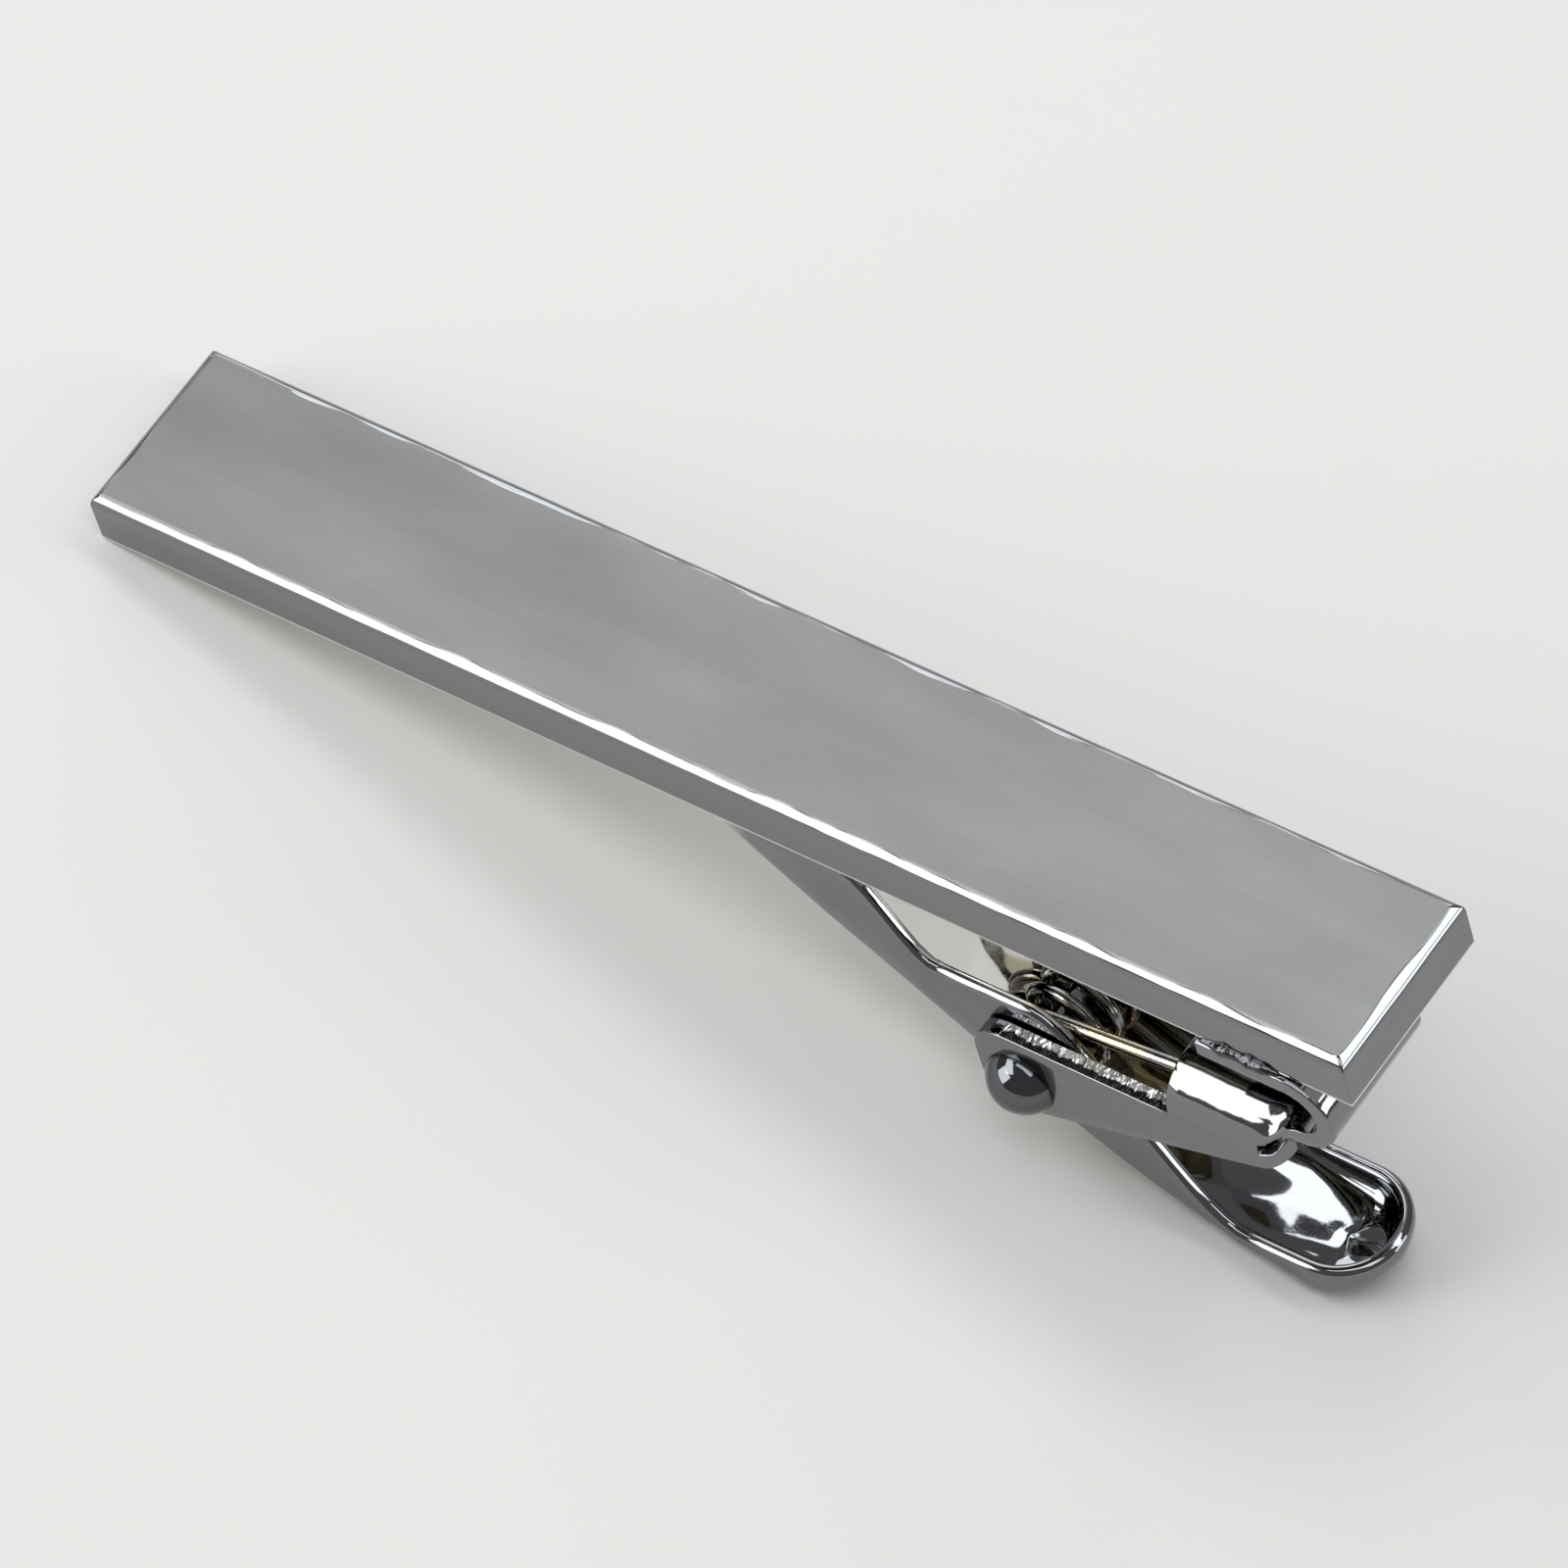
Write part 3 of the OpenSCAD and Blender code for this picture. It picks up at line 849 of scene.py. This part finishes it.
def drawn(i, j, inner):
    """Where grid point i round the rim, j from rim to middle, lies on the drawn lever."""
    side = -1 if i <= around / 2 else 1
    i = min(i, around - i)
    gauge = lever_sheet if inner else 0
    angle, tilt = 0.0, 0.0
    if i <= nose_steps:
        a = math.radians(90) * i / nose_steps
        x = -jaw_reach + (floor_start.x + jaw_reach) * (1 - math.cos(a))
        low = floor_start.y
    elif i <= nose_steps + floor_steps:
        at, tilt = floor_at((i - nose_steps) / floor_steps)
        x, low = at
    elif i <= side_steps:
        s = (i - nose_steps - floor_steps) / flat_steps
        x = floor_end.x + pad_flat * s
        tilt = -math.tan(pitch)
        low = floor_end.y + tilt * pad_flat * s
    else:
        angle = math.radians(90) * (i - side_steps) / round_steps
        x, low = pad_reach, pad_low
    rim = min(lever_sheet, half_width(x)) / 2
    half = max(half_width(x) - gauge, 0)
    top = wall_top(x)
    lift = gauge * math.sqrt(1 + tilt * tilt)
    bend = lever_bend - gauge + (ease(x, soften_from, soften_to) if inner else 0)

    def under(px):
        if px <= pad_reach:
            return low + lift
        r = lever_half - gauge
        s = min((px - pad_reach) / r, 1)
        return pad_rim - pad_lip - (pad_depth - pad_lip) * math.sqrt(1 - s * s) + lift

    def spot(e, z):
        reach = half - e
        return Vector((x + reach * math.sin(angle), side * reach * math.cos(angle), z))

    edge_low = under(x + half * math.sin(angle))
    shoulder = top - min(rim, 0.45 * max(top - edge_low, 0))
    bend = min(bend, 0.9 * half, 0.9 * max(shoulder - edge_low, 0))
    if j <= rim_rows:
        a = math.radians(90) * (1 - j / rim_rows)
        e = rim * (1 - math.cos(a))
        return spot(-e if inner else e, shoulder + (top - shoulder) * math.sin(a))
    j -= rim_rows
    if j <= wall_rows:
        return spot(0, shoulder + (edge_low + bend - shoulder) * j / wall_rows)
    if j <= wall_rows + corner_rows:
        a = math.radians(90) * (j - wall_rows) / corner_rows
        e = bend * (1 - math.cos(a))
        return spot(e, under(x + (half - e) * math.sin(angle)) + bend * (1 - math.sin(a)))
    e = bend + (half - bend) * (j - wall_rows - corner_rows) / floor_rows
    return spot(e, under(x + (half - e) * math.sin(angle)))


# The outer and the inner skin meet along the top of the rounded rim.
bm = bmesh.new()
on_floor = bm.verts.layers.int.new("on_floor")
for inner in (False, True):
    grid = bmesh.ops.create_grid(bm, x_segments=around, y_segments=inwards, size=0.5)["verts"]
    for v in grid:
        j = round((v.co.y + 0.5) * inwards)
        v.co = drawn(round((v.co.x + 0.5) * around), j, inner)
        v[on_floor] = int(inner and j > rim_rows + wall_rows + 1 and v.co.x > hollow_from)
bmesh.ops.remove_doubles(bm, verts=bm.verts, dist=2e-3)
# The press leaves the spoon's hollow without a crease, and a little askew.
hollow = [v for v in bm.verts if v[on_floor]]
smoothings, skew, level_at, hollow_half = 26, 0.035, 10.3, 2.2
for k in range(smoothings):
    bmesh.ops.smooth_vert(bm, verts=hollow, factor=0.5, use_axis_z=True)
for v in hollow:
    inward = max(1 - (v.co.y / hollow_half) ** 2, 0)
    v.co.z += skew * (v.co.x - level_at) * v.co.y * inward * ease(v.co.x, hollow_from, hollow_from + 2)
bm.verts.layers.int.remove(on_floor)
bmesh.ops.dissolve_degenerate(bm, edges=bm.edges, dist=1e-4)

# Deep-drawn brass, polished and plated: long swells from the drawing bend what it mirrors.
lever_plate, shader = metal("drawn_brass_lever_chromed", plate_grey, 0.05)
place = bar_place(lever_plate)
swell = add(
    lever_plate,
    "ShaderNodeTexNoise",
    {"Scale": 0.4, "Detail": 1.0, "Roughness": 0.5},
    {"Vector": place},
)
fine = add(lever_plate, "ShaderNodeTexNoise", {"Scale": 9.0, "Detail": 3.0}, {"Vector": place})
height = add(
    lever_plate,
    "ShaderNodeMath",
    {"operation": "MULTIPLY_ADD", 1: 0.002},
    {0: fine.outputs["Fac"], 2: swell.outputs["Fac"]},
)
bump = add(
    lever_plate,
    "ShaderNodeBump",
    {"Strength": 0.5, "Distance": 0.16 * MM},
    {"Height": height.outputs[0]},
)
lever_plate.node_tree.links.new(bump.outputs["Normal"], shader.inputs["Normal"])
dull = add(
    lever_plate,
    "ShaderNodeMapRange",
    {"From Min": 0.35, "From Max": 0.7, "To Min": 0.03, "To Max": 0.09},
    {"Value": fine.outputs["Fac"]},
)
lever_plate.node_tree.links.new(dull.outputs["Result"], shader.inputs["Roughness"])
# Inside the channel, up to a few millimetres past the pin, the plate is painted near white: a painted
# reflection that makes the throat read white. Deep in the throat the plate is thin, and the brass shows
# through.
throat_brass = "#b8b09c"
throat_from, throat_to, painted_reflection_to = pin_along - 1.6, pin_along + 2.6, pin_along + 3.6
xyz = add(lever_plate, "ShaderNodeSeparateXYZ", None, {"Vector": place})
off_side = from_middle(lever_plate, xyz)
inside = add(
    lever_plate,
    "ShaderNodeMapRange",
    {"From Min": lever_half - 0.25, "From Max": lever_half - 0.5},
    {"Value": off_side},
)
throat = add(
    lever_plate,
    "ShaderNodeMapRange",
    {"interpolation_type": "SMOOTHSTEP", "From Min": throat_from, "From Max": throat_from + 0.5},
    {"Value": xyz.outputs["X"]},
)
heel = add(
    lever_plate,
    "ShaderNodeMapRange",
    {
        "interpolation_type": "SMOOTHSTEP",
        "From Min": throat_to,
        "From Max": throat_to + 2,
        "To Min": 1.0,
        "To Max": 0.0,
    },
    {"Value": xyz.outputs["X"]},
)
brassy = add(
    lever_plate,
    "ShaderNodeMath",
    {"operation": "MULTIPLY"},
    {0: inside.outputs["Result"], 1: throat.outputs["Result"]},
)
brassy = add(
    lever_plate,
    "ShaderNodeMath",
    {"operation": "MULTIPLY"},
    {0: brassy.outputs[0], 1: heel.outputs["Result"]},
)
# Painted reflection: near white inside the channel, fading out a few millimetres past the pin.
painted_reflection_inside = add(
    lever_plate,
    "ShaderNodeMapRange",
    {
        "interpolation_type": "SMOOTHSTEP",
        "From Min": painted_reflection_to,
        "From Max": painted_reflection_to + 2,
        "To Min": 1.0,
        "To Max": 0.0,
    },
    {"Value": xyz.outputs["X"]},
)
painted_reflection_inside = add(
    lever_plate,
    "ShaderNodeMath",
    {"operation": "MULTIPLY"},
    {0: inside.outputs["Result"], 1: painted_reflection_inside.outputs["Result"]},
)
tint = add(
    lever_plate,
    "ShaderNodeMix",
    {"data_type": "RGBA", 6: colour(plate_grey), 7: colour(painted_reflection_grey)},
    {0: painted_reflection_inside.outputs[0]},
)
tint = add(
    lever_plate,
    "ShaderNodeMix",
    {"data_type": "RGBA", 7: colour(throat_brass)},
    {0: brassy.outputs[0], 6: tint.outputs[2]},
)
lever_plate.node_tree.links.new(tint.outputs[2], shader.inputs["Base Color"])

lever = piece("jaw_lever_drawn", bm, on_pin, [lever_plate])
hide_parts("jaw_lever")
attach(lever, "lever")

# Torsion spring.
# Hard-drawn steel wire wound four times round the pin between the lever's walls; one straight leg
# lies under the web and the other on the lever's floor. Its plating is thin and warm.
wire, coil_dia, coil_turns = 0.6, 4.2, 4
coil_mean = (coil_dia - wire) / 2
coil_shift = coil_mean - wire / 2 - shank - seat
lean = math.radians(40)
centre = Vector((coil_shift * math.sin(lean), coil_shift * math.cos(lean)))
coil_half = lever_half - lever_sheet - wire / 2 - seat
wire_sides, turn_steps, halvings = 14, 40, 30
web_leg, floor_leg = 10.5, 6.2
web_end = Vector((web_leg, web_top - sheet - wire / 2 - seat))
# The floor's height where the leg ends is found by halving.
low_share, high_share = 0.0, 1.0
for k in range(halvings):
    middle = (low_share + high_share) / 2
    if floor_at(middle)[0].x < floor_leg:
        low_share = middle
    else:
        high_share = middle
at, tilt = floor_at(low_share)
leg_lift = (lever_sheet + wire / 2 + seat) * math.sqrt(1 + tilt * tilt)
floor_end_leg = Vector((floor_leg, at.y + leg_lift))


def bearing(p):
    """The turn at which a point lies, seen from the coil's centre."""
    return math.atan2(p.y - centre.y, p.x - centre.x)


start_turn = bearing(web_end) + math.acos(coil_mean / (web_end - centre).length)
end_turn = bearing(floor_end_leg) - math.acos(coil_mean / (floor_end_leg - centre).length)
end_turn += math.tau * coil_turns

# A ring of the wire's section is set where the first leg leaves the coil, and wound round from there.
bm = bmesh.new()
ring = bmesh.ops.create_circle(bm, cap_ends=False, segments=wire_sides, radius=wire / 2)["verts"]
bmesh.ops.translate(bm, vec=(coil_mean, 0, 0), verts=ring)
bmesh.ops.rotate(
    bm,
    matrix=Matrix.Rotation(math.radians(90), 3, "X"),
    cent=(coil_mean, 0, 0),
    verts=ring,
)
bmesh.ops.rotate(bm, matrix=Matrix.Rotation(math.radians(90), 3, "X"), cent=(0, 0, 0), verts=ring)
bmesh.ops.rotate(bm, matrix=Matrix.Rotation(-start_turn, 3, "Y"), cent=(0, 0, 0), verts=ring)
bmesh.ops.translate(bm, vec=(centre.x, -coil_half, centre.y), verts=ring)
steps = int((end_turn - start_turn) / math.tau * turn_steps)
spun = bmesh.ops.spin(
    bm,
    geom=ring + bm.edges[:],
    cent=(centre.x, 0, centre.y),
    axis=(0, -1, 0),
    dvec=(0, 2 * coil_half / steps, 0),
    angle=end_turn - start_turn,
    steps=steps,
)["geom_last"]


def straight_leg(bm, ring_edges, ring_verts, target, y):
    """Draws the wire on from its open end to a point, and closes it there."""
    middle = sum((v.co for v in ring_verts), Vector()) / len(ring_verts)
    run = Vector((target.x, y, target.y)) - middle
    out = bmesh.ops.extrude_edge_only(bm, edges=ring_edges)["geom"]
    verts = [g for g in out if isinstance(g, bmesh.types.BMVert)]
    bmesh.ops.translate(bm, vec=run, verts=verts)
    bmesh.ops.contextual_create(bm, geom=verts)


first_edges = [e for e in bm.edges if e.is_boundary and all(v in ring for v in e.verts)]
last_verts = [g for g in spun if isinstance(g, bmesh.types.BMVert)]
last_edges = [e for e in bm.edges if e.is_boundary and all(v in last_verts for v in e.verts)]
straight_leg(bm, first_edges, ring, web_end, -coil_half)
straight_leg(bm, last_edges, last_verts, floor_end_leg, coil_half)

# Thin plate over drawn wire: a dull grey with warm patches, and faint lines from the drawing.
wire_grey, wire_warm = "#7e7f81", "#a3987d"
spring_wire, shader = metal("thinly_plated_spring_wire", wire_grey, 0.09)
place = bar_place(spring_wire)
patch = add(spring_wire, "ShaderNodeTexNoise", {"Scale": 0.8, "Detail": 3.0}, {"Vector": place})
warm = add(
    spring_wire,
    "ShaderNodeMapRange",
    {"From Min": 0.45, "From Max": 0.7},
    {"Value": patch.outputs["Fac"]},
)
tint = add(
    spring_wire,
    "ShaderNodeMix",
    {"data_type": "RGBA", 6: colour(wire_grey), 7: colour(wire_warm)},
    {0: warm.outputs["Result"]},
)
spring_wire.node_tree.links.new(tint.outputs[2], shader.inputs["Base Color"])
draw_lines = add(spring_wire, "ShaderNodeTexNoise", {"Scale": 12.0, "Detail": 2.0}, {"Vector": place})
bump = add(
    spring_wire,
    "ShaderNodeBump",
    {"Strength": 0.2, "Distance": 0.03 * MM},
    {"Height": draw_lines.outputs["Fac"]},
)
spring_wire.node_tree.links.new(bump.outputs["Normal"], shader.inputs["Normal"])
spring = piece("torsion_spring_wound", bm, on_pin, [spring_wire])
modifier(
    spring,
    "BEVEL",
    width=edge_round * MM,
    segments=2,
    limit_method="ANGLE",
    angle_limit=math.radians(60),
)
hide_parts("torsion_spring")
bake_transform(spring)

# Floor.
# A plain sheet of pale matt paper under the clip, six metres square so that no edge shows. Matt
# paper scatters what falls on it, so it looks even and shows the shadow softly.
paper_white, floor_half = "#ccccca", 3.0
paper = bpy.data.materials.new("pale_matt_paper")
paper.use_nodes = True
paper_shader = paper.node_tree.nodes["Principled BSDF"]
paper_shader.inputs["Base Color"].default_value = colour(paper_white)
paper_shader.inputs["Roughness"].default_value = 0.9
paper_shader.inputs["Specular IOR Level"].default_value = 0.2
bm = bmesh.new()
bmesh.ops.create_grid(bm, x_segments=1, y_segments=1, size=floor_half)
floor = piece("floor", bm, Matrix.Identity(4), [paper], smooth=False)

# Lamps.
# Eight soft boxes, each where some of the plate mirrors it to the camera, so that rims and bends
# show as white lines. The dim grey room between them gives the plate its darker parts.
lamp_away, room_grey = 0.9, 0.22


def soft_box(name, direction, long_way, length, width, watts):
    """A lamp that faces the clip from a direction, its long side lying along long_way."""
    light = bpy.data.lights.new(name, "AREA")
    light.shape = "RECTANGLE"
    light.size = length
    light.size_y = width
    light.energy = watts
    lamp = bpy.data.objects.new(name, light)
    scene.collection.objects.link(lamp)
    z = Vector(direction).normalized()
    x = (Vector(long_way) - z * z.dot(Vector(long_way))).normalized()
    turned = Matrix((x, z.cross(x), z)).transposed().to_4x4()
    lamp.matrix_world = Matrix.Translation(z * lamp_away) @ turned


soft_box("box_at_left", (-0.72, -0.21, 0.66), (0.25, -1, 0), 1.1, 0.34, 5.2)
soft_box("box_low_left", (-0.68, -0.67, 0.28), (0.7, -0.7, 0), 0.5, 0.42, 2.9)
soft_box("box_high_left", (-0.68, 0.42, 0.60), (0.4, 0.7, 0), 0.5, 0.4, 0.35)
soft_box("box_overhead", (-0.13, 0.40, 0.91), (1, 0, 0.15), 0.66, 0.19, 1.7)
soft_box("box_high_right", (0.48, 0.40, 0.78), (1, 0, -0.62), 0.66, 0.13, 1.15)
soft_box("box_by_camera", (0.0, -0.16, 0.98), (1, 0, 0), 0.95, 0.3, 2.6)
soft_box("strip_low_right", (0.86, 0.41, 0.30), (0.4, -0.9, 0), 0.4, 0.3, 1.7)
soft_box("strip_low_behind", (-0.59, 0.72, 0.33), (0.8, 0.65, 0), 0.5, 0.36, 1.6)

world = bpy.data.worlds.new("studio")
scene.world = world
world.use_nodes = True
backdrop = world.node_tree.nodes["Background"]
backdrop.inputs["Color"].default_value = (room_grey, room_grey, room_grey, 1)
backdrop.inputs["Strength"].default_value = 1.0

# Camera.
# A long lens about half a metre off. Its place on the level bar, in millimetres, and its turn, rise
# and roll, in degrees, are fitted to the bar's corners in the photograph.
turn, rise, roll = math.radians(49.6818), math.radians(51.9903), math.radians(-18.4945)
near_of_middle, aside, above, away = -0.25, 1.0839, -3.2267, 524.2638
photo_pixels, focal_pixels, film_width = 1600, 13911.605, 36
aim = Vector((bar_length / 2, near_of_middle, bar_thick))
toward_eye = Vector((math.sin(turn) * math.cos(rise), -math.cos(turn) * math.cos(rise), math.sin(rise)))
across_view = Vector((0, 0, 1)).cross(toward_eye).normalized()
up_view = toward_eye.cross(across_view)
right = across_view * math.cos(roll) + up_view * math.sin(roll)
up = up_view * math.cos(roll) - across_view * math.sin(roll)
eye = aim + right * aside + up * above + toward_eye * away
tilt_only = Matrix.Rotation(-pitch, 3, "Y")
axes = Matrix([tilt_only @ right, tilt_only @ up, tilt_only @ toward_eye]).transposed()
lens = bpy.data.cameras.new("camera")
lens.sensor_width = film_width
lens.lens = focal_pixels / photo_pixels * film_width
lens.clip_start = 0.01
lens.clip_end = 20
camera = bpy.data.objects.new("camera", lens)
scene.collection.objects.link(camera)
camera.matrix_world = Matrix.Translation(lay @ eye) @ axes.to_4x4()
scene.camera = camera
scene.view_settings.view_transform = "Standard"
